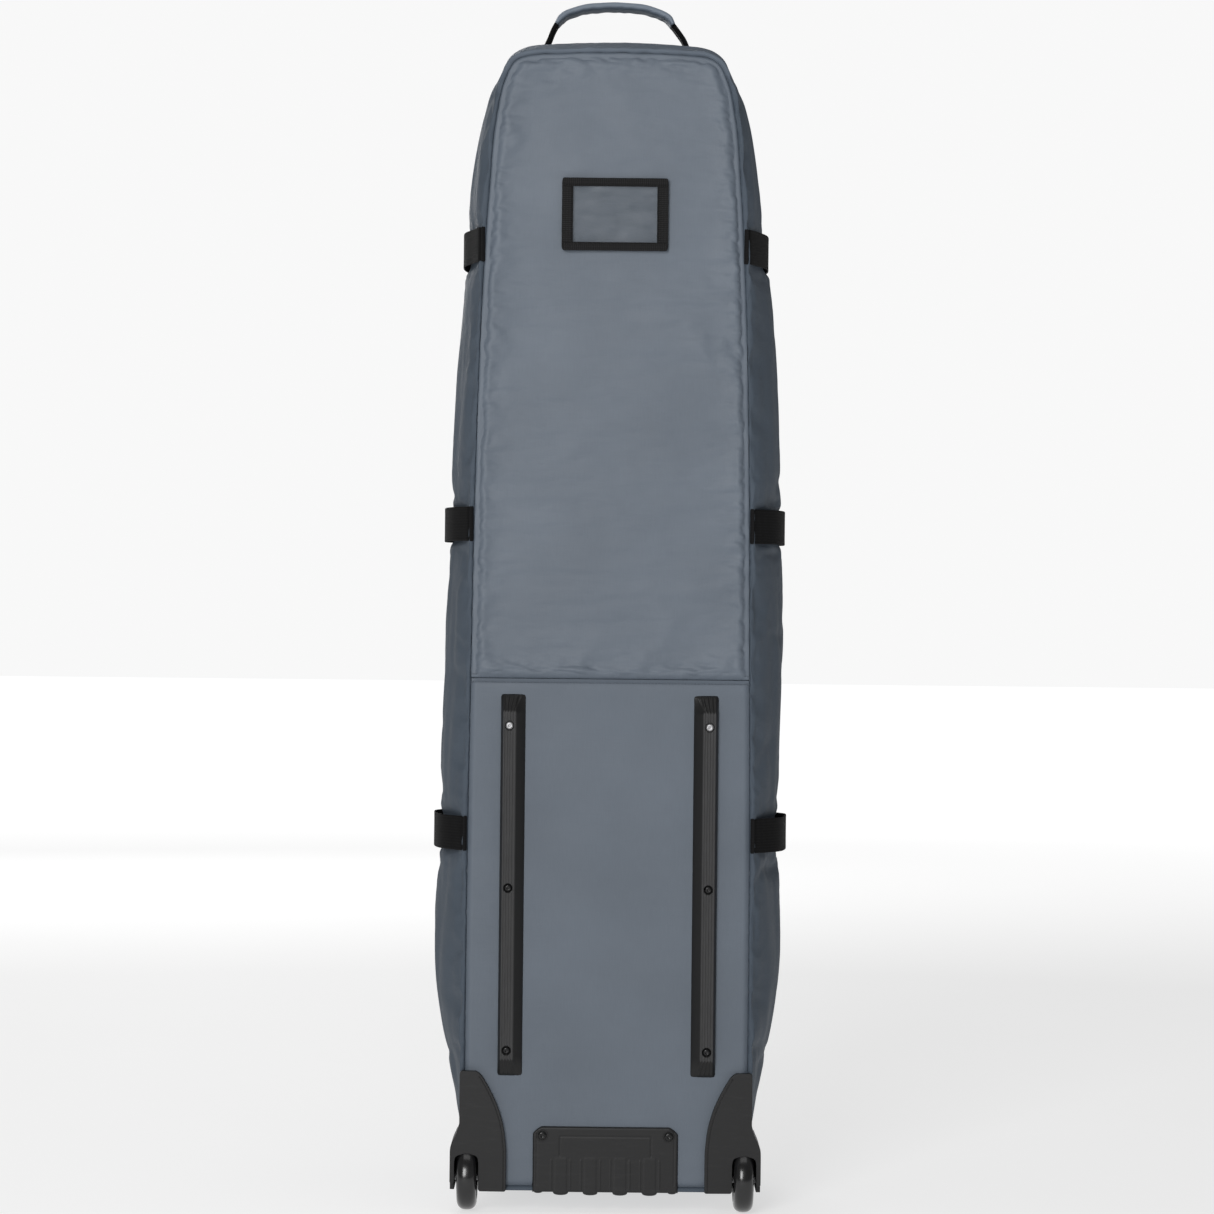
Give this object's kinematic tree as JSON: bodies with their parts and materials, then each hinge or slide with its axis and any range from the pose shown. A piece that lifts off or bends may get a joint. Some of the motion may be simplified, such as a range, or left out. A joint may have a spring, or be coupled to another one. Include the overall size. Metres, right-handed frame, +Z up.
{
  "type": "golf travel case",
  "caption": "Upright soft-sided wheeled golf travel case with skid rails, a lid that opens along one side, compression straps with buckles, and carry handles.",
  "frame": {"origin": "on the ground, under the middle of the overall box", "axes": "+Z up, +Y towards the lid (front), -Y the wheeled back with the skid rails, +X to the right seen from the back"},
  "size_m": [0.3968, 0.364, 1.352],
  "materials": {
    "grey_fabric": "blue-grey coated polyester",
    "inner_sheet": "black polyethylene sheet",
    "foam": "lined foam pad",
    "webbing": "black woven webbing",
    "buckle_plastic": "black acetal",
    "moulded_plastic": "black textured plastic",
    "rivet_metal": "plain steel",
    "dark_metal": "black coated metal",
    "wheel_urethane": "smooth black urethane",
    "clear_film": "clear vinyl film"
  },
  "bodies": {
    "case": {"rear_shell": "grey_fabric", "back_pad": "grey_fabric", "back_stiffener": "inner_sheet", "base_board": "inner_sheet", "top_foam_pad": "foam", "cinch_straps": "webbing", "cinch_buckles": "buckle_plastic", "skid_rail_left": "moulded_plastic", "skid_rail_right": "moulded_plastic", "rail_rivets": "rivet_metal", "wheel_housing_left": "moulded_plastic", "axle_left": "rivet_metal", "wheel_housing_right": "moulded_plastic", "axle_right": "rivet_metal", "kick_plate": "moulded_plastic", "kick_plate_rivets": "moulded_plastic", "front_foot_left": "moulded_plastic", "front_foot_right": "moulded_plastic", "id_window_frame": "webbing", "id_window_film": "clear_film", "case_zip_tape": "webbing", "case_strap_top": "webbing", "case_strap_middle": "webbing", "case_strap_bottom": "webbing", "handle_anchors": "webbing", "side_handle_anchors": "webbing"},
    "wheel_left": {"tyre_left": "wheel_urethane", "hub_left": "moulded_plastic", "bearings_left": "rivet_metal"},
    "wheel_right": {"tyre_right": "wheel_urethane", "hub_right": "moulded_plastic", "bearings_right": "rivet_metal"},
    "top_handle": {"top_handle_webbing": "webbing", "top_handle_wrap": "grey_fabric"},
    "side_handle": {"side_handle": "webbing"},
    "lid": {"front_lid": "grey_fabric", "lid_zip_tape": "webbing", "lid_strap_top": "webbing", "lid_strap_middle": "webbing", "lid_strap_bottom": "webbing", "buckle_male_top": "buckle_plastic", "buckle_male_middle": "buckle_plastic", "buckle_male_bottom": "buckle_plastic", "front_pocket": "grey_fabric", "pocket_zip_tape": "webbing"},
    "buckle_top": {"buckle_female_top": "buckle_plastic"},
    "buckle_middle": {"buckle_female_middle": "buckle_plastic"},
    "buckle_bottom": {"buckle_female_bottom": "buckle_plastic"},
    "slider_upper": {"zip_slider_upper": "dark_metal"},
    "pull_upper": {"zip_pull_upper": "webbing"},
    "slider_lower": {"zip_slider_lower": "dark_metal"},
    "pull_lower": {"zip_pull_lower": "webbing"},
    "pocket_slider": {"pocket_slider": "dark_metal"},
    "pocket_pull": {"pocket_pull": "webbing"}
  },
  "joints": [
    {"name": "wheel_left_spin", "type": "hinge", "parent": "case", "child": "wheel_left", "pos_m": [-0.152, -0.146, 0.036], "axis": [1, 0, 0], "continuous": true},
    {"name": "wheel_right_spin", "type": "hinge", "parent": "case", "child": "wheel_right", "pos_m": [0.152, -0.146, 0.036], "axis": [1, 0, 0], "continuous": true},
    {"name": "lid_hinge", "type": "hinge", "parent": "case", "child": "lid", "pos_m": [-0.165, 0.105, 0.66], "axis": [0, 0, 1], "range_deg": [0, 110]},
    {"name": "top_handle_swing", "type": "hinge", "parent": "case", "child": "top_handle", "pos_m": [0, -0.02, 1.3045], "axis": [1, 0, 0], "range_deg": [-55, 55], "stiffness_Nm_per_rad": 0.15},
    {"name": "side_handle_swing", "type": "hinge", "parent": "case", "child": "side_handle", "pos_m": [0.164, 0.05, 0.92], "axis": [0, 0, -1], "range_deg": [0, 110]},
    {"name": "buckle_top_release", "type": "slide", "parent": "case", "child": "buckle_top", "axis": [0, -1, 0], "range_m": [0, 0.03]},
    {"name": "buckle_middle_release", "type": "slide", "parent": "case", "child": "buckle_middle", "axis": [0, -1, 0], "range_m": [0, 0.03]},
    {"name": "buckle_bottom_release", "type": "slide", "parent": "case", "child": "buckle_bottom", "axis": [0, -1, 0], "range_m": [0, 0.03]},
    {"name": "slider_upper_slide", "type": "slide", "parent": "case", "child": "slider_upper", "axis": [0, 0, 1], "range_m": [0, 0.1]},
    {"name": "pull_upper_swing", "type": "hinge", "parent": "slider_upper", "child": "pull_upper", "pos_m": [0.1639, 0.1085, 0.613], "axis": [0, -1, 0], "range_deg": [0, 150]},
    {"name": "slider_lower_slide", "type": "slide", "parent": "case", "child": "slider_lower", "axis": [0, 0, -1], "range_m": [0, 0.085]},
    {"name": "pull_lower_swing", "type": "hinge", "parent": "slider_lower", "child": "pull_lower", "pos_m": [0.1639, 0.1015, 0.587], "axis": [0, -1, 0], "range_deg": [0, 150]},
    {"name": "pocket_slider_slide", "type": "slide", "parent": "lid", "child": "pocket_slider", "axis": [-1, 0, 0], "range_m": [0, 0.165]},
    {"name": "pocket_pull_swing", "type": "hinge", "parent": "pocket_slider", "child": "pocket_pull", "pos_m": [0.08475, 0.1809, 0.69], "axis": [1, 0, 0], "range_deg": [0, 150]}
  ]
}
